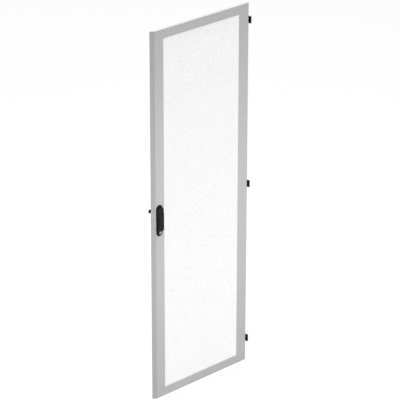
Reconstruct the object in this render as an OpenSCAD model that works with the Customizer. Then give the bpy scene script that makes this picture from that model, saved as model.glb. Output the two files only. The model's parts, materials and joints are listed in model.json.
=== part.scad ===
// Perforated rack door: a folded steel leaf with bevelled side edges, a perforated
// infill panel, three lift-off hinges and a swing handle with a cam latch.
// Door layout: x from the lock edge, y from the front face backwards, z from the bottom.

/* [Door leaf] */
// Width of the leaf across its bevelled edges
leaf_w = 600; // [450:1:800]
// Height of the leaf
leaf_h = 1800; // [1300:1:2200]
// Depth of the folded leaf, front face to back lip
leaf_depth = 16.5; // [15:0.5:24]
// Width that each bevelled side edge takes from the front
bevel_w = 16.5; // [8:0.5:20]
// Thickness of the leaf's sheet steel
leaf_t = 1.5; // [1:0.1:2]
// Outside radius of the folds round the front face
fold_r = 2.5; // [2.2:0.1:4]
// Outside radius of the sharp folds where the bevelled edges meet the back lips
hem_r = 1.6; // [1.6:0.1:3]
// Flat width of the stile on the lock side
lock_stile_w = 50; // [50:1:80]
// Flat width of the stile on the hinge side
hinge_stile_w = 54; // [46:1:90]
// Height of the top and bottom rails
rail_w = 43; // [38:1:90]
// Width of the lip folded inwards at the back
lip_w = 24; // [20:1:26]

/* [Perforated panel] */
// Thickness of the perforated sheet
panel_t = 1; // [0.8:0.1:2]
// Overlap of the panel behind each stile and rail
panel_overlap = 13; // [12:0.5:15]
// Distance between the centres of neighbouring holes
hole_pitch = 50; // [40:1:90]
// Width of the web left between neighbouring holes
web_w = 4; // [2:0.5:10]
// Plain strip between the hole field and the window's edge
plain_edge = 2; // [0:0.5:20]

/* [Panel retainers] */
// Thickness of the retaining angles
angle_t = 1.5; // [1:0.1:2]
// Depth of the retaining angles' standing leg
angle_leg = 11; // [7:0.5:11]
// Greatest distance between the studs along a stile
stud_pitch = 300; // [120:5:400]
// Diameter of the welded panel studs
stud_d = 4; // [3:0.5:4]
// Length of the panel studs behind the leaf's sheet
stud_len = 8; // [8:0.5:11]

/* [Hinges] */
// Height of the lowest hinge's middle above the leaf's bottom edge
lower_hinge_rise = 107.5; // [60:0.5:200]
// Distance of the highest hinge's middle below the leaf's top edge
upper_hinge_drop = 87.5; // [60:0.5:200]
// Height of one hinge
hinge_h = 31; // [27:0.5:60]
// Distance of the hinge axis outside the leaf's edge
axis_out = 4; // [4:0.1:6]
// Distance of the hinge axis behind the front face
axis_back = 8; // [7:0.1:9]
// Diameter of the hinge knuckles
knuckle_d = 12; // [11:0.1:13]
// Diameter of the hinge pins
pin_d = 6; // [4:0.1:7]
// Radial running clearance of the pins in the door's knuckles
pin_clear = 0.05; // [0.02:0.01:0.1]
// Thickness of the thrust washer between the knuckles
washer_t = 1; // [0.5:0.1:2]
// Diameter of the thrust washer
washer_d = 10; // [8:0.1:10.6]
// Thickness of the hinge plates
plate_t = 4; // [3.5:0.1:5]
// Gap between the door's hinge plate and the cabinet's hinge plate
plate_gap = 1.5; // [1:0.1:3]
// Distance between the two screws of a hinge plate
hinge_screw_gap = 16; // [14:0.5:17]
// Diameter of the cabinet screws' clearance holes
frame_screw_d = 5.4; // [4.2:0.1:5.6]
// Diameter of the screws that hold the door's hinge plates
door_screw_d = 4; // [3:0.5:4]

/* [Handle] */
// Distance of the handle's middle line from the lock edge
handle_in = 36; // [36:0.5:42]
// Height of the handle's middle above the leaf's bottom edge
handle_rise = 900; // [600:1:1150]
// Length of the handle's base
base_h = 152; // [145:1:200]
// Width of the handle's base
base_w = 37; // [36:0.5:42]
// Thickness of the handle's base
base_t = 5; // [4.5:0.5:8]
// Distance of the spindle below the base's upper end
spindle_drop = 28.8; // [24:0.1:36]
// Diameter of the spindle
spindle_d = 12; // [11:0.1:13]
// Radial running clearance of the spindle and the lock plug
turn_clear = 0.05; // [0.02:0.01:0.1]
// Width of the spindle's head
head_w = 33; // [28:0.5:35]
// Distance of the head's upper end above the spindle's axis
head_rise = 22.8; // [18:0.1:26]
// Distance of the lever's pivot pin below the spindle
pivot_drop = 14; // [13:0.5:18]
// Diameter of the lever's pivot pin
pivot_d = 4; // [3:0.1:4.5]
// Width of the lever
lever_w = 33; // [28:0.5:35]
// Thickness of the lever at its ends
lever_end_t = 9; // [8.6:0.1:10]
// Thickness of the lever at its middle
lever_mid_t = 12.7; // [10.5:0.1:15]
// Radius of the corners at the lever's lower end
lever_corner_r = 8; // [4:0.5:12]
// Gap between the turning parts and the base
lever_gap = 0.3; // [0.2:0.1:0.5]
// Wall thickness of the hollow lever
lever_wall = 2.4; // [1.6:0.1:3]

/* [Lock] */
// Diameter of the lock housing's barrel
lock_d = 13; // [12.5:0.1:14]
// Diameter of the lock housing's flange
flange_d = 16; // [15.5:0.1:17]
// Diameter of the key plug
plug_d = 10; // [8:0.1:11]
// Reach of the locking tongue from the plug's axis
tongue_reach = 10; // [9.5:0.1:10.5]

/* [Latch] */
// Reach of the latch cam past the leaf's lock edge
cam_out = 5.5; // [0:0.5:12]
// Height of the cam's tongue
cam_h = 16; // [10:0.5:20]
// Thickness of the cam
cam_t = 3; // [2:0.5:4]
// Side of the spindle's square end
square_w = 8; // [7:0.1:8.3]
// Gap between the leaf's back lip and the cam
cam_gap = 5.5; // [5:0.5:10]

/* [Small parts] */
// Diameter of the rubber buffers
buffer_d = 10; // [8:0.5:14]
// Height of the rubber buffers
buffer_h = 5; // [3:0.5:5.5]
// Distance of the buffers from the leaf's side edges
buffer_in = 60; // [40:1:120]
// Diameter of the earthing stud
earth_d = 6; // [5:0.5:6]
// Height of the earthing stud above the leaf's bottom edge
earth_rise = 190; // [160:1:400]

/* [Hidden] */
$fn = 48;

// Steps in a fold's arc, and a cut's run past the face that it opens
fold_steps = 4;
past = 1;

// Window, panel and hole field
window_x = [bevel_w + lock_stile_w, leaf_w - bevel_w - hinge_stile_w];
window_z = [rail_w, leaf_h - rail_w];
panel_x = [window_x[0] - panel_overlap, window_x[1] + panel_overlap];
panel_z = [window_z[0] - panel_overlap, window_z[1] + panel_overlap];
panel_y = leaf_t;
window_mid = [(window_x[0] + window_x[1]) / 2, (window_z[0] + window_z[1]) / 2];
row_step = hole_pitch * sqrt(3) / 2;
hole_r = (hole_pitch - web_w) / sqrt(3);
field_w = window_x[1] - window_x[0] - 2 * plain_edge;
field_h = window_z[1] - window_z[0] - 2 * plain_edge;
hole_rows = ceil(field_h / 2 / row_step);
hole_columns = ceil(field_w / 2 / hole_pitch);
least_part = 4;

// Retaining angles: their foot stops short of the window's edge
angle_y = panel_y + panel_t;
angle_back = 0.5;
angle_foot = panel_overlap - angle_back;
stud_in = panel_overlap / 2 + angle_t / 2 - angle_back / 2;
stud_hole_d = stud_d + 0.6;
nut_y = angle_y + angle_t;
panel_nut_t = 3.2;
panel_nut_af = 7;

// Hinges
hinge_z = [lower_hinge_rise, (lower_hinge_rise + leaf_h - upper_hinge_drop) / 2, leaf_h - upper_hinge_drop];
axis_x = leaf_w + axis_out;
door_plate_y = leaf_depth;
frame_plate_y = door_plate_y + plate_t + plate_gap;
mount_y = frame_plate_y + plate_t;
mount_in = 10;
mount_x = leaf_w - mount_in;
door_screw_in = 14;
door_screw_x = leaf_w - door_screw_in;
door_screw_head_r = door_screw_d;
frame_screw_head_r = 5;
pin_tip = 1;
knuckle_cap = 1.5;

// Handle and lock, seen from the front
base_r = base_w / 2;
spindle_z = handle_rise + base_h / 2 - spindle_drop;
lock_z = handle_rise - base_h / 2 + base_r;
pivot_z = spindle_z - pivot_drop;
lever_back = -base_t - lever_gap;
lever_tip_z = lock_z + flange_d / 2 + 0.5;
lever_len = pivot_z - lever_tip_z;
barrel_r = 4.2;
barrel_gap = 0.4;
pivot_y = lever_back - barrel_r;
lug_w = 8;
boss_r = 10;
boss_gap = 0.25;
upper_boss = 15;
lower_boss = 8;
clamp_t = 2;
clamp_w = 32;
handle_screw_gap = 60;
handle_screw_d = 4;
screw_bite = 3.5;

// Lock stack, outwards from the base's face
flange_t = 1.5;
tongue_t = 1.3;
tongue_w = 5;
disc_t = 1.5;
disc_r = 7;
tongue_y = -base_t - flange_t - 0.2;
plug_end = 14;
lock_end = 12;
lock_nut_t = 3;

// Latch stack, behind the leaf
cam_y = leaf_depth + cam_gap;
cam_hub_r = 11;
clip_t = 1;
cam_screw_d = 5;
cam_washer_t = 1.5;

// Earthing stud
earth_gap = 14;
earth_x = panel_x[1] + earth_gap;
earth_len = 13;
earth_nut_t = 5;
earth_washer_t = 1.5;

// ---- Outline helpers ----

function unit(v) = v / norm(v);
function heading(v) = atan2(v.y, v.x);
function turn(a) = a > 180 ? a - 360 : a < -180 ? a + 360 : a;

// Points of the arc that rounds corner p, between neighbours a and b
function corner_arc(a, p, b, r, n) =
    let (u = unit(a - p))
    let (v = unit(b - p))
    let (half = acos(u * v) / 2)
    let (centre = p + unit(u + v) * r / sin(half))
    let (from = heading(p + u * r / tan(half) - centre))
    let (sweep = turn(heading(p + v * r / tan(half) - centre) - from))
    [for (i = [0:n]) centre + r * [cos(from + sweep * i / n), sin(from + sweep * i / n)]];

// An outline whose corner i is rounded with radii[i], or left sharp where that is 0
function rounded(points, radii, n = fold_steps) =
    let (last = len(points) - 1)
    [for (i = [0:last]) each radii[i] > 0
        ? corner_arc(points[i == 0 ? last : i - 1], points[i], points[i == last ? 0 : i + 1], radii[i], n)
        : [points[i]]];

// Moves the door's layout so that the origin is the lower hinge's screw pattern
module placed() {
    translate([-mount_x, -mount_y, -lower_hinge_rise]) children();
}

// A cylinder along Y, from y0 back to y1
module rod_y(x, z, r, y0, y1) {
    translate([x, y0, z]) rotate([-90, 0, 0]) cylinder(r = r, h = y1 - y0);
}

// A cone along Y, r0 at y0 and r1 at y1
module cone_y(x, z, r0, r1, y0, y1) {
    translate([x, y0, z]) rotate([-90, 0, 0]) cylinder(r1 = r0, r2 = r1, h = y1 - y0);
}

// A hexagonal prism along Y, measured across its flats
module hex_y(x, z, flats, y0, y1) {
    translate([x, y0, z]) rotate([-90, 0, 0]) cylinder(d = flats / cos(30), h = y1 - y0, $fn = 6);
}

// A block between two corners
module block(low, high) {
    translate(low) cube(high - low);
}

// An upright pill, its rim shaped by a half section of [radius, height] points
module pill(length, width, section) {
    span = length - width;
    left = [for (i = [len(section) - 1:-1:0]) if (section[i].x > 0) [-section[i].x, -section[i].y]];
    right = [for (p = section) [p.x, -p.y]];
    translate([0, 0, -span / 2]) linear_extrude(span) polygon(concat(right, left));
    for (end = [-1, 1]) {
        translate([0, 0, end * span / 2]) rotate([90, 0, 0]) rotate_extrude() polygon(section);
    }
}

// ---- Door leaf ----

// Direction of the lock side's bevel in plan: it runs from the front fold to the round of the back fold
hem_centre = [hem_r - bevel_w, leaf_depth - hem_r];
bevel_heading = heading(hem_centre) + asin(hem_r / norm(hem_centre));

// Where the bevel lies at depth y, on a surface that lies in from the outside by inset
function edge_x(y, inset) = bevel_w + y / tan(bevel_heading) + inset / sin(bevel_heading);

// Prism of the leaf's outside, or of its inside where inset is the sheet's thickness
module leaf_form(inset) {
    front = inset;
    back = leaf_depth - inset;
    r = fold_r - inset;
    sharp_r = hem_r - inset;
    plan = [
        [edge_x(front, inset), front],
        [leaf_w - edge_x(front, inset), front],
        [leaf_w - edge_x(back, inset), back],
        [edge_x(back, inset), back]
    ];
    side = [[front, inset], [back, inset], [back, leaf_h - inset], [front, leaf_h - inset]];
    intersection() {
        linear_extrude(leaf_h) polygon(rounded(plan, [r, r, sharp_r, sharp_r]));
        rotate([90, 0, 90]) linear_extrude(leaf_w) polygon(rounded(side, [r, r, r, r]));
    }
}

module door_leaf() {
    color([0.78, 0.79, 0.80]) placed() difference() {
        leaf_form(0);
        leaf_form(leaf_t);
        block([lip_w, leaf_depth - leaf_t - past, lip_w],
              [leaf_w - lip_w, leaf_depth + past, leaf_h - lip_w]);
        block([window_x[0], -past, window_z[0]], [window_x[1], leaf_t + past, window_z[1]]);
        rod_y(handle_in, spindle_z, boss_r + boss_gap, -past, leaf_t + past);
        rod_y(handle_in, lock_z, boss_r + boss_gap, -past, leaf_t + past);
        for (s = [-1, 1]) {
            rod_y(handle_in, handle_z(s), handle_screw_d / 2 + boss_gap, -past, leaf_t + past);
        }
        for (z = hinge_z, s = [-1, 1]) {
            rod_y(door_screw_x, z + s * hinge_screw_gap / 2, door_screw_d / 2 + boss_gap,
                leaf_depth - leaf_t - past, leaf_depth + past);
        }
        for (x = buffer_x, z = buffer_z) {
            rod_y(x, z, buffer_d / 4, leaf_depth - leaf_t - past, leaf_depth + past);
        }
    }
}

// ---- Perforated panel ----

// Centres of the staggered holes whose part inside the field is wide enough to punch
hole_centres = [
    for (row = [-hole_rows:hole_rows], column = [-hole_columns:hole_columns])
        let (x = (column + (row % 2 == 0 ? 0 : 0.5)) * hole_pitch)
        let (z = row * row_step)
        if (abs(x) - (hole_pitch - web_w) / 2 < field_w / 2 - least_part)
            if (abs(z) - hole_r / 2 < field_h / 2 - least_part) [x, z]
];

// Flat sheet in its own plane, centred on the window; the holes at the field's edges are cut short
module perforated_outline() {
    difference() {
        translate([panel_x[0] - window_mid[0], panel_z[0] - window_mid[1]])
            square([panel_x[1] - panel_x[0], panel_z[1] - panel_z[0]]);
        intersection() {
            square([field_w, field_h], center = true);
            for (p = hole_centres) translate(p) rotate(30) circle(r = hole_r, $fn = 6);
        }
        for (p = stud_places) translate(p - window_mid) circle(d = stud_hole_d, $fn = 12);
    }
}

module perforated_panel() {
    color([0.93, 0.94, 0.95]) placed() translate([window_mid[0], panel_y + panel_t, window_mid[1]])
        rotate([90, 0, 0]) linear_extrude(panel_t) perforated_outline();
}

// ---- Panel retainers ----

stud_x = [panel_x[0] + stud_in, panel_x[1] - stud_in];
stud_z = [panel_z[0] + stud_in, panel_z[1] - stud_in];
stud_gaps = ceil((window_z[1] - window_z[0]) / stud_pitch);
stud_levels = [for (i = [0:stud_gaps - 1]) window_z[0] + (i + 0.5) * (window_z[1] - window_z[0]) / stud_gaps];
rail_gaps = ceil((window_x[1] - window_x[0]) / stud_pitch);
rail_places = [for (i = [0:rail_gaps - 1]) window_x[0] + (i + 0.5) * (window_x[1] - window_x[0]) / rail_gaps];
stud_places = concat(
    [for (x = stud_x, z = stud_levels) [x, z]],
    [for (x = rail_places, z = stud_z) [x, z]]
);

// An angle along Z: its foot runs from x = 0 to the foot's width, its leg stands at x = 0
module angle_bar(length) {
    linear_extrude(length) polygon([
        [0, angle_y], [angle_foot, angle_y], [angle_foot, angle_y + angle_t],
        [angle_t, angle_y + angle_t], [angle_t, angle_y + angle_leg], [0, angle_y + angle_leg]
    ]);
}

module stud_holes() {
    for (p = stud_places) {
        rod_y(p[0], p[1], stud_hole_d / 2, angle_y - past, angle_y + angle_t + past);
    }
}

module lock_side_retainer() {
    color("silver") placed() difference() {
        translate([panel_x[0], 0, panel_z[0]]) angle_bar(panel_z[1] - panel_z[0]);
        stud_holes();
    }
}

module hinge_side_retainer() {
    color("silver") placed() difference() {
        translate([panel_x[1], 0, panel_z[0]]) mirror([1, 0, 0]) angle_bar(panel_z[1] - panel_z[0]);
        stud_holes();
    }
}

// A retainer along a rail, its foot pointing to the window
module rail_retainer(z, up) {
    x = [panel_x[0] + angle_foot + angle_back, panel_x[1] - angle_foot - angle_back];
    difference() {
        translate([x[0], 0, z]) mirror([0, 0, up ? 0 : 1])
            multmatrix([[0, 0, 1, 0], [0, 1, 0, 0], [1, 0, 0, 0]]) angle_bar(x[1] - x[0]);
        stud_holes();
    }
}

module bottom_retainer() {
    color("silver") placed() rail_retainer(panel_z[0], true);
}

module top_retainer() {
    color("silver") placed() rail_retainer(panel_z[1], false);
}

module panel_studs() {
    color("gray") placed() for (p = stud_places) rod_y(p[0], p[1], stud_d / 2, leaf_t, leaf_t + stud_len);
}

module panel_nuts() {
    color("gray") placed() for (p = stud_places) difference() {
        hex_y(p[0], p[1], panel_nut_af, nut_y, nut_y + panel_nut_t);
        rod_y(p[0], p[1], stud_d / 2, nut_y - past, nut_y + panel_nut_t + past);
    }
}

// ---- Hinges ----

// Plan of an arm that runs from the knuckle back to y, between x0 and x1
module arm(x0, x1, y, z0, z1) {
    block([x0, axis_back, z0], [x1, y, z1]);
}

module knuckle(z0, z1) {
    translate([axis_x, axis_back, z0]) cylinder(d = knuckle_d, h = z1 - z0);
}

// Countersunk screw hole through a plate whose front is at y0 and back at y1
module sunk_hole(x, z, d, head_r, y_head, y_end) {
    away = sign(y_end - y_head);
    sink = head_r - d / 2;
    rod_y(x, z, d / 2, min(y_head, y_end) - past, max(y_head, y_end) + past);
    if (away > 0) {
        cone_y(x, z, head_r, d / 2, y_head, y_head + sink);
    } else {
        cone_y(x, z, d / 2, head_r, y_head - sink, y_head);
    }
}

// The cabinet's half: lower knuckle, arm and screw plate
module frame_hinge(z) {
    low = z - hinge_h / 2;
    high = z + hinge_h / 2;
    split = z - washer_t / 2;
    arm_right = axis_x + 4.5;
    color([0.08, 0.08, 0.09]) placed() difference() {
        union() {
            knuckle(low, split);
            arm(axis_x - 2.5, arm_right, mount_y, low, split);
            block([leaf_w - lip_w, frame_plate_y, low], [arm_right, mount_y, high]);
        }
        translate([axis_x, axis_back, low - past]) cylinder(d = pin_d, h = hinge_h);
        for (s = [-1, 1]) {
            sunk_hole(mount_x, z + s * hinge_screw_gap / 2, frame_screw_d, frame_screw_head_r,
                frame_plate_y, mount_y);
        }
    }
}

// The door's half: upper knuckle with a closed top, arm and screw plate
module door_hinge(z) {
    low = z - hinge_h / 2;
    high = z + hinge_h / 2;
    split = z + washer_t / 2;
    color([0.08, 0.08, 0.09]) placed() difference() {
        union() {
            knuckle(split, high);
            arm(leaf_w + 0.6, axis_x + 3.5, door_plate_y + plate_t, split, high);
            block([leaf_w - lip_w, door_plate_y, split], [axis_x + 3.5, door_plate_y + plate_t, high]);
            block([leaf_w - lip_w, door_plate_y, low], [leaf_w, door_plate_y + plate_t, split]);
        }
        translate([axis_x, axis_back, split - past])
            cylinder(r = pin_d / 2 + pin_clear, h = high - split + past - knuckle_cap);
        for (s = [-1, 1]) {
            sunk_hole(door_screw_x, z + s * hinge_screw_gap / 2, door_screw_d, door_screw_head_r,
                door_plate_y + plate_t, door_plate_y);
        }
    }
}

module hinge_pin(z) {
    top = z + hinge_h / 2 - knuckle_cap - 0.5;
    low = z - hinge_h / 2;
    color("silver") placed() translate([axis_x, axis_back, low]) {
        cylinder(d = pin_d, h = top - low - pin_tip);
        translate([0, 0, top - low - pin_tip]) cylinder(d1 = pin_d, d2 = pin_d - 2 * pin_tip, h = pin_tip);
    }
}

module lower_frame_hinge() frame_hinge(hinge_z[0]);
module middle_frame_hinge() frame_hinge(hinge_z[1]);
module upper_frame_hinge() frame_hinge(hinge_z[2]);
module lower_hinge_pin() hinge_pin(hinge_z[0]);
module middle_hinge_pin() hinge_pin(hinge_z[1]);
module upper_hinge_pin() hinge_pin(hinge_z[2]);
module lower_door_hinge() door_hinge(hinge_z[0]);
module middle_door_hinge() door_hinge(hinge_z[1]);
module upper_door_hinge() door_hinge(hinge_z[2]);

module thrust_washers() {
    color("khaki") placed() for (z = hinge_z) translate([axis_x, axis_back, z - washer_t / 2]) difference() {
        cylinder(d = washer_d, h = washer_t);
        translate([0, 0, -past]) cylinder(d = pin_d, h = washer_t + 2 * past);
    }
}

module door_hinge_screws() {
    head = door_plate_y + plate_t;
    sink = door_screw_head_r - door_screw_d / 2;
    color("silver") placed() for (z = hinge_z, s = [-1, 1]) {
        at = z + s * hinge_screw_gap / 2;
        difference() {
            union() {
                cone_y(door_screw_x, at, door_screw_d / 2, door_screw_head_r, head - sink, head);
                rod_y(door_screw_x, at, door_screw_d / 2, leaf_depth - leaf_t - 4, head - sink);
            }
            hex_y(door_screw_x, at, door_screw_d / 2, head - 1.5, head + past);
        }
    }
}

module door_hinge_nuts() {
    back = leaf_depth - leaf_t;
    color("silver") placed() for (z = hinge_z, s = [-1, 1]) {
        at = z + s * hinge_screw_gap / 2;
        difference() {
            hex_y(door_screw_x, at, 7, back - 3.2, back);
            rod_y(door_screw_x, at, door_screw_d / 2, back - 3.2 - past, back + past);
        }
    }
}

// ---- Swing handle ----

function handle_z(side) = (spindle_z + lock_z) / 2 + side * handle_screw_gap / 2;

module handle_base() {
    rim = rounded([[0, 0], [base_r, 0], [base_r, base_t], [0, base_t]], [0, 0, 3, 0], 6);
    color([0.12, 0.12, 0.13]) placed() difference() {
        union() {
            translate([handle_in, 0, handle_rise]) pill(base_h, base_w, rim);
            rod_y(handle_in, spindle_z, boss_r, -past, upper_boss);
            rod_y(handle_in, lock_z, boss_r, -past, lower_boss);
        }
        rod_y(handle_in, spindle_z, spindle_d / 2 + turn_clear, -base_t - past, upper_boss + past);
        rod_y(handle_in, lock_z, lock_d / 2, -base_t - past, lower_boss + past);
        for (s = [-1, 1]) {
            rod_y(handle_in, handle_z(s), handle_screw_d / 2, -screw_bite, past);
        }
    }
}

module handle_clamp() {
    y = leaf_t;
    reach = boss_r + 4;
    color("silver") placed() difference() {
        block([handle_in - clamp_w / 2, y, lock_z - reach],
              [handle_in + clamp_w / 2, y + clamp_t, spindle_z + reach]);
        rod_y(handle_in, spindle_z, boss_r + boss_gap, y - past, y + clamp_t + past);
        rod_y(handle_in, lock_z, boss_r + boss_gap, y - past, y + clamp_t + past);
        for (s = [-1, 1]) {
            rod_y(handle_in, handle_z(s), handle_screw_d / 2 + boss_gap, y - past, y + clamp_t + past);
        }
    }
}

module handle_screws() {
    seat = leaf_t + clamp_t;
    color("silver") placed() for (s = [-1, 1]) difference() {
        union() {
            rod_y(handle_in, handle_z(s), handle_screw_d / 2, -screw_bite + 0.3, seat);
            rod_y(handle_in, handle_z(s), handle_screw_d, seat, seat + 2.6);
        }
        hex_y(handle_in, handle_z(s), 2.5, seat + 1, seat + 2.6 + past);
    }
}

// Head that carries on the lever's outline, lug for the lever's pin, shaft and square end
module spindle() {
    head_t = lever_end_t;
    rim = rounded([[0, 0], [head_w / 2, 0], [head_w / 2, head_t], [0, head_t]], [0, 0, 3, 0], 6);
    round_z = spindle_z + head_rise - head_w / 2;
    cut_z = pivot_z + barrel_r + barrel_gap;
    color([0.12, 0.12, 0.13]) placed() difference() {
        union() {
            difference() {
                translate([handle_in, lever_back, (round_z + pivot_z) / 2])
                    pill(round_z - pivot_z + head_w, head_w, rim);
                block([handle_in - head_w, lever_back - head_t - past, pivot_z - head_w],
                    [handle_in + head_w, lever_back + past, cut_z]);
            }
            block([handle_in - lug_w / 2, pivot_y - 3.2, pivot_z],
                  [handle_in + lug_w / 2, lever_back, spindle_z]);
            translate([handle_in - lug_w / 2, pivot_y, pivot_z]) rotate([0, 90, 0])
                cylinder(r = 3.2, h = lug_w);
            rod_y(handle_in, spindle_z, spindle_d / 2, lever_back - past, cam_y);
            block([handle_in - square_w / 2, cam_y - past, spindle_z - square_w / 2],
                [handle_in + square_w / 2, cam_y + cam_t - 0.2, spindle_z + square_w / 2]);
        }
        translate([handle_in - base_w, pivot_y, pivot_z]) rotate([0, 90, 0])
            cylinder(d = pivot_d, h = 2 * base_w);
        rod_y(handle_in, spindle_z, cam_screw_d / 2, cam_y - 12, cam_y + cam_t + past);
        difference() {
            rod_y(handle_in, spindle_z, spindle_d / 2 + past, upper_boss + 0.3, upper_boss + 0.3 + clip_t);
            rod_y(handle_in, spindle_z, spindle_d / 2 - 0.8, upper_boss, upper_boss + 0.6 + clip_t);
        }
    }
}

module spindle_clip() {
    y = upper_boss + 0.3;
    color("silver") placed() difference() {
        rod_y(handle_in, spindle_z, spindle_d / 2 + 2.4, y, y + clip_t);
        rod_y(handle_in, spindle_z, spindle_d / 2 - 0.8, y - past, y + clip_t + past);
        block([handle_in - 2.5, y - past, spindle_z - spindle_d],
              [handle_in + 2.5, y + clip_t + past, spindle_z]);
    }
}

module lever_pin() {
    color("silver") placed() translate([handle_in - lever_w / 2 + 0.5, pivot_y, pivot_z]) rotate([0, 90, 0])
        cylinder(d = pivot_d, h = lever_w - 1);
}

// Solid of the arched lever, or of its hollow where inset is the wall's thickness
module lever_form(inset) {
    steps = 12;
    r = lever_w / 2;
    top = pivot_z - (inset > 0 ? barrel_r + inset : 0);
    low = lever_tip_z + inset * 2;
    side = concat(
        [[lever_back + (inset > 0 ? past : 0), low], [lever_back + (inset > 0 ? past : 0), top]],
        [for (i = [0:steps]) let (s = i / steps) [
            lever_back + inset - lever_end_t - (lever_mid_t - lever_end_t) * 4 * s * (1 - s),
            top + (low - top) * s
        ]]
    );
    crown = lever_back - lever_mid_t + inset;
    section = rounded([
        [-r + inset, lever_back + 2], [r - inset, lever_back + 2], [r - inset, crown], [-r + inset, crown]
    ], [0, 0, 5, 5], 6);
    corner = lever_corner_r - inset;
    plan = rounded(
        [[-r + inset, low], [r - inset, low], [r - inset, top], [-r + inset, top]],
        [corner, corner, 0, 0],
        6);
    intersection() {
        translate([handle_in - r, 0, 0]) rotate([90, 0, 90]) linear_extrude(lever_w) polygon(side);
        translate([handle_in, 0, low]) linear_extrude(top - low) polygon(section);
        translate([handle_in, lever_back + 2, 0]) rotate([90, 0, 0])
            linear_extrude(lever_mid_t * 2) polygon(plan);
    }
}

module handle_lever() {
    color([0.12, 0.12, 0.13]) placed() difference() {
        union() {
            lever_form(0);
            translate([handle_in - lever_w / 2, pivot_y, pivot_z]) rotate([0, 90, 0])
                cylinder(r = barrel_r, h = lever_w);
        }
        lever_form(lever_wall);
        translate([handle_in - lug_w / 2 - 0.2, pivot_y, pivot_z]) rotate([0, 90, 0])
            cylinder(r = barrel_r + barrel_gap, h = lug_w + 0.4);
        translate([handle_in - base_w, pivot_y, pivot_z]) rotate([0, 90, 0])
            cylinder(r = pivot_d / 2 + turn_clear, h = 2 * base_w);
        rod_y(handle_in, lock_z, tongue_reach + 0.4, tongue_y - tongue_t - 0.2, tongue_y + 0.2);
    }
}

// ---- Lock ----

module lock_housing() {
    color("silver") placed() difference() {
        union() {
            rod_y(handle_in, lock_z, flange_d / 2, -base_t - flange_t, -base_t);
            rod_y(handle_in, lock_z, lock_d / 2, -base_t - past / 2, lock_end);
        }
        rod_y(handle_in, lock_z, plug_d / 2 + turn_clear, -base_t - flange_t - past, lock_end + past);
    }
}

module lock_nut() {
    color("silver") placed() difference() {
        hex_y(handle_in, lock_z, lock_d + 4, lower_boss, lower_boss + lock_nut_t);
        rod_y(handle_in, lock_z, lock_d / 2, lower_boss - past, lower_boss + lock_nut_t + past);
    }
}

// Keyed disc, locking tongue and shaft; the tongue points to the hinge side when unlocked
module lock_plug() {
    color("silver") placed() difference() {
        union() {
            rod_y(handle_in, lock_z, disc_r, tongue_y - tongue_t - disc_t, tongue_y - tongue_t);
            rod_y(handle_in, lock_z, plug_d / 2, tongue_y - tongue_t - disc_t / 2, plug_end);
            intersection() {
                rod_y(handle_in, lock_z, tongue_reach, tongue_y - tongue_t, tongue_y);
                block([handle_in, tongue_y - tongue_t, lock_z - tongue_w / 2],
                    [handle_in + 2 * tongue_reach, tongue_y, lock_z + tongue_w / 2]);
            }
        }
        block([handle_in - 0.8, tongue_y - tongue_t - disc_t - past, lock_z - 3.5],
            [handle_in + 0.8, tongue_y - tongue_t, lock_z + 3.5]);
        difference() {
            rod_y(handle_in, lock_z, plug_d, lock_end + 0.2, lock_end + 0.2 + clip_t);
            rod_y(handle_in, lock_z, plug_d / 2 - 0.8, lock_end, lock_end + 0.4 + clip_t);
        }
    }
}

module plug_clip() {
    y = lock_end + 0.2;
    color("silver") placed() difference() {
        rod_y(handle_in, lock_z, plug_d / 2 + 1.4, y, y + clip_t);
        rod_y(handle_in, lock_z, plug_d / 2 - 0.8, y - past, y + clip_t + past);
        block([handle_in - 2, y - past, lock_z - plug_d], [handle_in + 2, y + clip_t + past, lock_z]);
    }
}

// ---- Cam latch ----

module latch_cam() {
    tip = -cam_out;
    square_gap = 0.05;
    outline = rounded([
        [tip, -cam_h / 2], [handle_in - cam_hub_r, -cam_h / 2], [handle_in, -cam_hub_r],
        [handle_in, cam_hub_r], [handle_in - cam_hub_r, cam_h / 2], [tip, cam_h / 2]
    ], [2, 0, 0, 0, 0, 2], 4);
    hole = square_w / 2 + square_gap;
    color([0.25, 0.25, 0.26]) placed() difference() {
        union() {
            translate([0, cam_y + cam_t, spindle_z]) rotate([90, 0, 0])
                linear_extrude(cam_t) polygon(outline);
            rod_y(handle_in, spindle_z, cam_hub_r, cam_y, cam_y + cam_t);
        }
        block([handle_in - hole, cam_y - past, spindle_z - hole],
              [handle_in + hole, cam_y + cam_t + past, spindle_z + hole]);
    }
}

module cam_washer() {
    y = cam_y + cam_t;
    color("silver") placed() difference() {
        rod_y(handle_in, spindle_z, 8, y, y + cam_washer_t);
        rod_y(handle_in, spindle_z, cam_screw_d / 2 + 0.2, y - past, y + cam_washer_t + past);
    }
}

module cam_screw() {
    y = cam_y + cam_t + cam_washer_t;
    color("silver") placed() {
        rod_y(handle_in, spindle_z, cam_screw_d / 2, cam_y - 11, y);
        hex_y(handle_in, spindle_z, 8, y, y + 3.5);
    }
}

// ---- Buffers and earthing ----

buffer_x = [buffer_in, leaf_w - buffer_in];
buffer_z = [lip_w / 2, leaf_h - lip_w / 2];

module rubber_buffers() {
    color([0.15, 0.15, 0.15]) placed() for (x = buffer_x, z = buffer_z) {
        rod_y(x, z, buffer_d / 4, leaf_depth - leaf_t - 2, leaf_depth);
        rod_y(x, z, buffer_d / 2, leaf_depth, leaf_depth + buffer_h);
        cone_y(x, z, buffer_d / 4, buffer_d / 4 + 1, leaf_depth - leaf_t - 2.5, leaf_depth - leaf_t);
    }
}

module earthing_stud() {
    color("silver") placed() rod_y(earth_x, earth_rise, earth_d / 2, leaf_t, leaf_t + earth_len);
}

module earthing_washer() {
    color("silver") placed() difference() {
        rod_y(earth_x, earth_rise, earth_d, leaf_t, leaf_t + earth_washer_t);
        rod_y(earth_x, earth_rise, earth_d / 2 + 0.2, leaf_t - past, leaf_t + earth_washer_t + past);
    }
}

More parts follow.
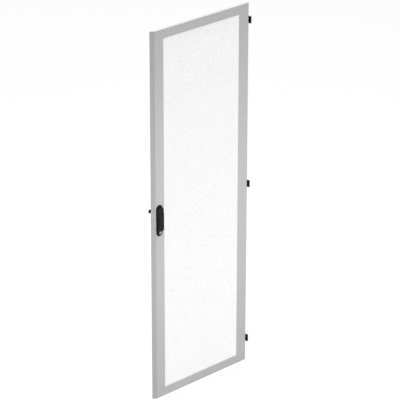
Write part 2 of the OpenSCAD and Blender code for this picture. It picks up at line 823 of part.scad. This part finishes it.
module earthing_nut() {
    y = leaf_t + earth_washer_t;
    color("silver") placed() difference() {
        hex_y(earth_x, earth_rise, 10, y, y + earth_nut_t);
        rod_y(earth_x, earth_rise, earth_d / 2, y - past, y + earth_nut_t + past);
    }
}

// ---- Nodes ----

lower_frame_hinge();
middle_frame_hinge();
upper_frame_hinge();
lower_hinge_pin();
middle_hinge_pin();
upper_hinge_pin();
thrust_washers();
door_leaf();
perforated_panel();
lock_side_retainer();
hinge_side_retainer();
top_retainer();
bottom_retainer();
panel_studs();
panel_nuts();
lower_door_hinge();
middle_door_hinge();
upper_door_hinge();
door_hinge_screws();
door_hinge_nuts();
handle_base();
handle_clamp();
handle_screws();
lock_housing();
lock_nut();
lock_plug();
plug_clip();
spindle();
spindle_clip();
lever_pin();
handle_lever();
latch_cam();
cam_washer();
cam_screw();
rubber_buffers();
earthing_stud();
earthing_washer();
earthing_nut();
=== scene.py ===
"""Perforated rack door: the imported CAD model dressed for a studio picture."""
import json
import math

import bmesh
import bpy
from mathutils import Matrix, Vector


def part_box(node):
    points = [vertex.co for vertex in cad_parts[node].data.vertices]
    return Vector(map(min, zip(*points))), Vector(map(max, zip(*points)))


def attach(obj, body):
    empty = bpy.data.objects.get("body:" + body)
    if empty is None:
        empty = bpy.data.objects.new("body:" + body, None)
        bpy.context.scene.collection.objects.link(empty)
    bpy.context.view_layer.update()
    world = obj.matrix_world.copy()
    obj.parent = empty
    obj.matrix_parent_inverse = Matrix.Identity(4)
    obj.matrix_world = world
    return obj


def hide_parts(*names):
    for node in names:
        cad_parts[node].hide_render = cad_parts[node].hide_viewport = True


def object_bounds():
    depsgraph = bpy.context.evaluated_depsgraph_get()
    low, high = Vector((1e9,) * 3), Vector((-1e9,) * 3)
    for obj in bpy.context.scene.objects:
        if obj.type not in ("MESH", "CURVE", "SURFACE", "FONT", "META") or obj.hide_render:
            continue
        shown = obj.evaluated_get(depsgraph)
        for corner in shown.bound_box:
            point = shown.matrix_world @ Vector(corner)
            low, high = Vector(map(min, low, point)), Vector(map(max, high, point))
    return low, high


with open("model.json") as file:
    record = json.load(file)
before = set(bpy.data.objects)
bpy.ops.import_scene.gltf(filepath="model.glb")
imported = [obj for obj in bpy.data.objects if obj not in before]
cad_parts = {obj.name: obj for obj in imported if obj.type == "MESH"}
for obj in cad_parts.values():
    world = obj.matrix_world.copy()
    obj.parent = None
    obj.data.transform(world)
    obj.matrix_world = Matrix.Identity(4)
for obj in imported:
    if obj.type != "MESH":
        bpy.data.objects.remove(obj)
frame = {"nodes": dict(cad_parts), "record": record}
cad_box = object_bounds()
nodes = frame["nodes"]
mm = 0.001

leaf_lo, leaf_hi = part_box("door_leaf")
panel_lo, panel_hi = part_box("perforated_panel")


# ---- camera ----------------------------------------------------------------------------------

lens_mm = 202.1
heading = math.radians(46.625)
pitch = math.radians(23.737)
roll = math.radians(0.071)
distance = 10.212
sensor_mm = 36
far_clip = 200
aim = leaf_lo + Vector((0.2874, 0.0, 0.9246))


def make_camera():
    """A long lens that looks down on the door from the front left, as the photograph does."""
    forward = Vector((
        math.cos(heading) * math.cos(pitch),
        math.sin(heading) * math.cos(pitch),
        -math.sin(pitch),
    ))
    data = bpy.data.cameras.new("camera")
    data.sensor_width = sensor_mm
    data.lens = lens_mm
    data.clip_end = far_clip
    camera = bpy.data.objects.new("camera", data)
    bpy.context.scene.collection.objects.link(camera)
    turn = forward.to_track_quat("-Z", "Y").to_matrix().to_4x4()
    stand = Matrix.Translation(aim - forward * distance)
    camera.matrix_world = stand @ turn @ Matrix.Rotation(roll, 4, "Z")
    bpy.context.scene.camera = camera


# ---- node materials --------------------------------------------------------------------------

# how fine each pattern is, in cells or rings to a metre
paint_clouds = 6
sheet_peel = 850
casting_peel = 1100
zinc_clouds = 90
drawn_grain = 1400
turned_clouds = 160
tool_rings = 2600
mould_clouds = 120
mould_pits = 2200

# the colour sockets of a Mix node
mix_a, mix_b, mix_result = 6, 7, 2


def new_material(name):
    """A material, its node tree and its Principled shader."""
    material = bpy.data.materials.new(name)
    material.use_nodes = True
    tree = material.node_tree
    shader = tree.nodes["Principled BSDF"]
    return material, tree, shader


def add(tree, kind, inputs=None, **settings):
    """One node, with its settings and its input values or links."""
    node = tree.nodes.new(kind)
    for key, value in settings.items():
        setattr(node, key, value)
    for key, value in (inputs or {}).items():
        if isinstance(value, bpy.types.NodeSocket):
            tree.links.new(value, node.inputs[key])
        else:
            node.inputs[key].default_value = value
    return node


def place(tree, stretch=(1, 1, 1)):
    """The object's own coordinates in metres, stretched for a drawn or turned grain."""
    coords = add(tree, "ShaderNodeTexCoord")
    mapping = add(tree, "ShaderNodeMapping", {"Vector": coords.outputs["Object"], "Scale": stretch})
    return mapping.outputs["Vector"]


def noise(tree, where, scale, detail):
    """A noise pattern with so many cells to a metre."""
    made = add(tree, "ShaderNodeTexNoise", {"Vector": where, "Scale": scale, "Detail": detail})
    return made.outputs["Fac"]


def spread(tree, value, low, high, start=0.3, end=0.7):
    """Maps a pattern's middle range to low..high."""
    made = add(tree, "ShaderNodeMapRange", {
        "Value": value, "From Min": start, "From Max": end, "To Min": low, "To Max": high,
    })
    return made.outputs["Result"]


def vary_color(tree, shader, value, color, darkest, lightest):
    """Base colour that a pattern moves between two shares of one colour."""
    made = add(tree, "ShaderNodeMix", {"Factor": value}, data_type="RGBA")
    for socket, share in ((mix_a, darkest), (mix_b, lightest)):
        made.inputs[socket].default_value = (*(min(1.0, c * share) for c in color), 1)
    tree.links.new(made.outputs[mix_result], shader.inputs["Base Color"])


def vary_roughness(tree, shader, value, smoothest, roughest):
    """Roughness that a pattern moves between two values."""
    tree.links.new(spread(tree, value, smoothest, roughest), shader.inputs["Roughness"])


def dent(tree, shader, height, depth, strength=1.0):
    """A height pattern as bump, its depth in metres."""
    bump = add(tree, "ShaderNodeBump", {"Height": height, "Distance": depth, "Strength": strength})
    tree.links.new(bump.outputs["Normal"], shader.inputs["Normal"])


def powder_coat(name, color, rough, grain, depth, specular=0.5):
    """Sprayed and baked paint: a faint cloudiness, a fine orange peel and a satin shine.

    The grain is the peel's cells to a metre, the depth its height in metres.
    """
    material, tree, shader = new_material(name)
    where = place(tree)
    cloud = noise(tree, where, paint_clouds, 3)
    peel = noise(tree, where, grain, 2)
    speck = noise(tree, where, grain * 2.3, 1)
    body = add(tree, "ShaderNodeMath", {0: cloud, 1: speck}, operation="ADD")
    halved = add(tree, "ShaderNodeMath", {0: body.outputs[0], 1: 0.5}, operation="MULTIPLY")
    fac = spread(tree, halved.outputs[0], 0, 1, 0.38, 0.62)
    vary_color(tree, shader, fac, color, 0.975, 1.02)
    vary_roughness(tree, shader, peel, rough - 0.04, rough + 0.05)
    shader.inputs["Specular IOR Level"].default_value = specular
    dent(tree, shader, peel, depth)
    return material


def zinc_plate(name, color):
    """Bright zinc: a drawn grain with cloudy patches."""
    material, tree, shader = new_material(name)
    drawn = noise(tree, place(tree, (1, 1, 0.05)), drawn_grain, 2)
    cloud = noise(tree, place(tree), zinc_clouds, 4)
    fac = spread(tree, cloud, 0, 1)
    vary_color(tree, shader, fac, color, 0.88, 1.08)
    vary_roughness(tree, shader, drawn, 0.38, 0.52)
    shader.inputs["Metallic"].default_value = 1.0
    dent(tree, shader, drawn, 0.01 * mm, 0.6)
    return material


def turned_metal(name, color, rough):
    """Turned or milled metal: fine tool rings along its length."""
    material, tree, shader = new_material(name)
    where = place(tree)
    wave = add(tree, "ShaderNodeTexWave", {
        "Vector": where, "Scale": tool_rings, "Distortion": 1.2, "Detail": 1.0,
    }, wave_type="BANDS", bands_direction="Z")
    cloud = noise(tree, where, turned_clouds, 3)
    fac = spread(tree, cloud, 0, 1)
    vary_color(tree, shader, fac, color, 0.9, 1.06)
    vary_roughness(tree, shader, cloud, rough - 0.05, rough + 0.06)
    shader.inputs["Metallic"].default_value = 1.0
    dent(tree, shader, wave.outputs["Fac"], 0.006 * mm, 0.5)
    return material


def moulded(name, color):
    """Matt rubber or polymer: a fine pitted skin."""
    material, tree, shader = new_material(name)
    where = place(tree)
    pits = noise(tree, where, mould_pits, 2)
    cloud = noise(tree, where, mould_clouds, 2)
    fac = spread(tree, cloud, 0, 1)
    vary_color(tree, shader, fac, color, 0.8, 1.3)
    vary_roughness(tree, shader, pits, 0.72, 0.86)
    shader.inputs["Specular IOR Level"].default_value = 0.3
    dent(tree, shader, pits, 0.03 * mm, 0.7)
    return material


def make_materials():
    """One finish for each material slot of the record."""
    peel, fine_peel = 0.03 * mm, 0.02 * mm
    return {
        "frame_paint": powder_coat("frame_paint", (0.56, 0.56, 0.562), 0.5, sheet_peel, peel),
        "panel_paint": powder_coat("panel_paint", (0.82, 0.82, 0.82), 0.5, sheet_peel, fine_peel),
        "hinge_black": powder_coat(
            "hinge_black", (0.003, 0.003, 0.0032), 0.5, casting_peel, peel, specular=0.12,
        ),
        "handle_black": powder_coat(
            "handle_black", (0.006, 0.006, 0.0065), 0.42, casting_peel, peel, specular=0.15,
        ),
        "zinc_steel": zinc_plate("zinc_steel", (0.47, 0.48, 0.50)),
        "washer_polymer": moulded("washer_polymer", (0.05, 0.05, 0.052)),
        "lock_nickel": turned_metal("lock_nickel", (0.42, 0.42, 0.42), 0.3),
        "cam_steel": zinc_plate("cam_steel", (0.035, 0.035, 0.037)),
        "buffer_rubber": moulded("buffer_rubber", (0.016, 0.016, 0.016)),
    }


def finish_nodes(materials):
    """Gives each CAD node the finish of its material slot."""
    for part in frame["record"]["subparts"]:
        mesh = nodes[part["node"]].data
        mesh.materials.clear()
        mesh.materials.append(materials[part["material_slot"]])


# ---- fine perforation ------------------------------------------------------------------------

# staggered hexagonal holes with narrow webs, inside a plain margin, on a sheet made in a few bands
hex_pitch = 8.0 * mm
hex_web = 0.7 * mm
row_pitch = hex_pitch * math.sqrt(0.75)
margin = 15.0 * mm
bands = 3


def lattice_faces(columns, rows):
    """A honeycomb's webs in one flat layer: the holes' corners, the faces and the holes' edges.

    Webs are quads, and the knots between three holes are triangles.
    """
    radius = (hex_pitch - hex_web) / math.sqrt(3)
    corner = [
        Vector((math.sin(math.radians(60 * k)), math.cos(math.radians(60 * k)))) * radius for k in range(6)
    ]
    points = []
    for row in range(rows):
        for column in range(columns):
            centre = Vector((hex_pitch * (column + 0.5 * (row % 2)), row_pitch * row))
            points += [centre + c for c in corner]

    def hole(column, row):
        """The first corner of a hole of the field, or None past its edge."""
        if 0 <= column < columns and 0 <= row < rows:
            return 6 * (row * columns + column)
        return None

    faces = []
    walls = []
    for row in range(rows):
        for column in range(columns):
            here = hole(column, row)
            walls += [(here + k, here + (k + 1) % 6) for k in range(6)]
            east = hole(column + 1, row)
            north_east = hole(column + row % 2, row + 1)
            north_west = hole(column + row % 2 - 1, row + 1)
            if east is not None:
                faces.append((here + 1, here + 2, east + 4, east + 5))
            if north_east is not None:
                faces.append((here + 0, here + 1, north_east + 3, north_east + 4))
            if north_west is not None:
                faces.append((here + 5, here + 0, north_west + 2, north_west + 3))
            if east is not None and north_east is not None:
                faces.append((here + 1, east + 5, north_east + 3))
            if north_east is not None and north_west is not None:
                faces.append((here + 0, north_east + 4, north_west + 2))
    return points, faces, walls


def perforated_band(name, bottom, top):
    """The perforated sheet between two heights, with its plain margin where it has one.

    Every band counts its rows from the foot of the field, so the pattern runs on across the borders.
    """
    left, right = panel_lo.x + margin, panel_hi.x - margin
    field_foot = panel_lo.z + margin
    low = max(bottom, field_foot)
    high = min(top, panel_hi.z - margin)
    # a few rows and columns to spare all round, which the cuts below take off
    columns = math.ceil((right - left) / hex_pitch) + 3
    rows = math.ceil((high - low) / row_pitch) + 5
    first_row = 2 * math.floor((low - field_foot) / row_pitch / 2) - 2
    points, faces, walls = lattice_faces(columns, rows)
    count = len(points)
    front, back = panel_lo.y, panel_hi.y
    shift = Vector((left - hex_pitch, field_foot + first_row * row_pitch))
    mesh = bpy.data.meshes.new(name)
    layer = [(p.x + shift.x, front, p.y + shift.y) for p in points]
    layer += [(p.x + shift.x, back, p.y + shift.y) for p in points]
    skin = [tuple(reversed(f)) for f in faces]
    skin += [tuple(i + count for i in f) for f in faces]
    skin += [(a, b, b + count, a + count) for a, b in walls]
    mesh.from_pydata(layer, [], skin)
    work = bmesh.new()
    work.from_mesh(mesh)
    for point, normal in (
        ((left, 0, 0), (-1, 0, 0)), ((right, 0, 0), (1, 0, 0)),
        ((0, 0, low), (0, 0, -1)), ((0, 0, high), (0, 0, 1)),
    ):
        bmesh.ops.bisect_plane(
            work, geom=work.verts[:] + work.edges[:] + work.faces[:], dist=1e-7,
            plane_co=point, plane_no=normal, clear_outer=True,
        )

    def strip(x0, x1, z0, z1):
        """A plain stretch of the sheet beside the holes."""
        corners = [(x, y, z) for y in (front, back) for x, z in ((x0, z0), (x1, z0), (x1, z1), (x0, z1))]
        made = [work.verts.new(c) for c in corners]
        for ring in ((0, 1, 2, 3), (7, 6, 5, 4), (0, 4, 5, 1), (1, 5, 6, 2), (2, 6, 7, 3), (3, 7, 4, 0)):
            work.faces.new([made[i] for i in ring])

    strip(panel_lo.x, left, bottom, top)
    strip(right, panel_hi.x, bottom, top)
    if low > bottom:
        strip(left, right, bottom, low)
    if high < top:
        strip(left, right, high, top)
    work.to_mesh(mesh)
    work.free()
    piece = bpy.data.objects.new(name, mesh)
    bpy.context.scene.collection.objects.link(piece)
    return piece


def make_perforation(materials):
    """The finer perforated sheet that stands for the CAD panel, in bands of equal height."""
    height = (panel_hi.z - panel_lo.z) / bands
    for index in range(bands):
        piece = perforated_band(
            f"perforated_sheet_{index + 1}",
            panel_lo.z + height * index,
            panel_lo.z + height * (index + 1),
        )
        piece.data.materials.append(materials["panel_paint"])
        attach(piece, "door")
        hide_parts("perforated_panel")


# ---- stage -----------------------------------------------------------------------------------

# light of the world on the object, and the floor's own brightness, where 1 is white
ambient = 0.42
floor_bounce = 0.32
floor_pale = 0.92
floor_white = 0.87
floor_size = 60
floor_drop = 30 * mm

# each lamp's name, power in watts, side, place from the leaf's middle, and whether metal mirrors it
lamps = (
    ("front_softbox", 18, 0.8, (-0.05, -1.75, -0.05), True),
    ("top_softbox", 700, 6.0, (0.0, 1.0, 8.0), True),
    ("rear_softbox", 45, 1.6, (-0.6, 2.6, 0.3), False),
)


def seen_rays(tree):
    """1 for the rays that show a thing as it is: camera, mirror and glass rays."""
    path = add(tree, "ShaderNodeLightPath")
    two = add(tree, "ShaderNodeMath", {
        0: path.outputs["Is Camera Ray"], 1: path.outputs["Is Glossy Ray"],
    }, operation="MAXIMUM")
    return add(tree, "ShaderNodeMath", {
        0: two.outputs[0], 1: path.outputs["Is Transmission Ray"],
    }, operation="MAXIMUM").outputs[0]


def make_world():
    """A white surround that lights the object less than it shows."""
    world = bpy.data.worlds.new("studio")
    world.use_nodes = True
    tree = world.node_tree
    strength = spread(tree, seen_rays(tree), ambient, 1.0, 0, 1)
    background = tree.nodes["Background"]
    background.inputs["Color"].default_value = (1, 1, 1, 1)
    tree.links.new(strength, background.inputs["Strength"])
    bpy.context.scene.world = world


def make_floor():
    """A pale floor under the door: almost white to the camera, with the door's soft shadow on it."""
    bpy.ops.mesh.primitive_plane_add(size=floor_size, location=(0, 0, cad_box[0].z - floor_drop))
    floor = bpy.context.object
    floor.name = "floor"
    material = bpy.data.materials.new("pale_floor")
    material.use_nodes = True
    tree = material.node_tree
    shader = tree.nodes["Principled BSDF"]
    pale = spread(tree, seen_rays(tree), floor_bounce, floor_pale, 0, 1)
    tree.links.new(pale, shader.inputs["Base Color"])
    shader.inputs["Roughness"].default_value = 0.9
    shader.inputs["Specular IOR Level"].default_value = 0.0
    glow = add(tree, "ShaderNodeEmission", {"Color": (1, 1, 1, 1), "Strength": 1.0})
    share = add(tree, "ShaderNodeMath", {0: seen_rays(tree), 1: floor_white}, operation="MULTIPLY")
    mixed = add(tree, "ShaderNodeMixShader", {
        0: share.outputs[0], 1: shader.outputs[0], 2: glow.outputs[0],
    })
    tree.links.new(mixed.outputs[0], tree.nodes["Material Output"].inputs["Surface"])
    floor.data.materials.append(material)


def soft_box(name, power, side, where, target, mirrored):
    """A square lamp that faces its target."""
    data = bpy.data.lights.new(name, "AREA")
    data.shape = "SQUARE"
    data.size = side
    data.energy = power
    lamp = bpy.data.objects.new(name, data)
    bpy.context.scene.collection.objects.link(lamp)
    lamp.location = where
    lamp.rotation_mode = "QUATERNION"
    lamp.rotation_quaternion = (target - where).to_track_quat("-Z", "Y")
    lamp.visible_glossy = mirrored


def make_lights():
    """Soft boxes in front of the leaf, above it and behind it."""
    middle = (leaf_lo + leaf_hi) / 2
    for name, power, side, offset, mirrored in lamps:
        soft_box(name, power, side, middle + Vector(offset), middle, mirrored)


make_camera()
make_world()
make_floor()
make_lights()
palette = make_materials()
finish_nodes(palette)
make_perforation(palette)

bpy.context.scene.view_settings.view_transform = "Standard"
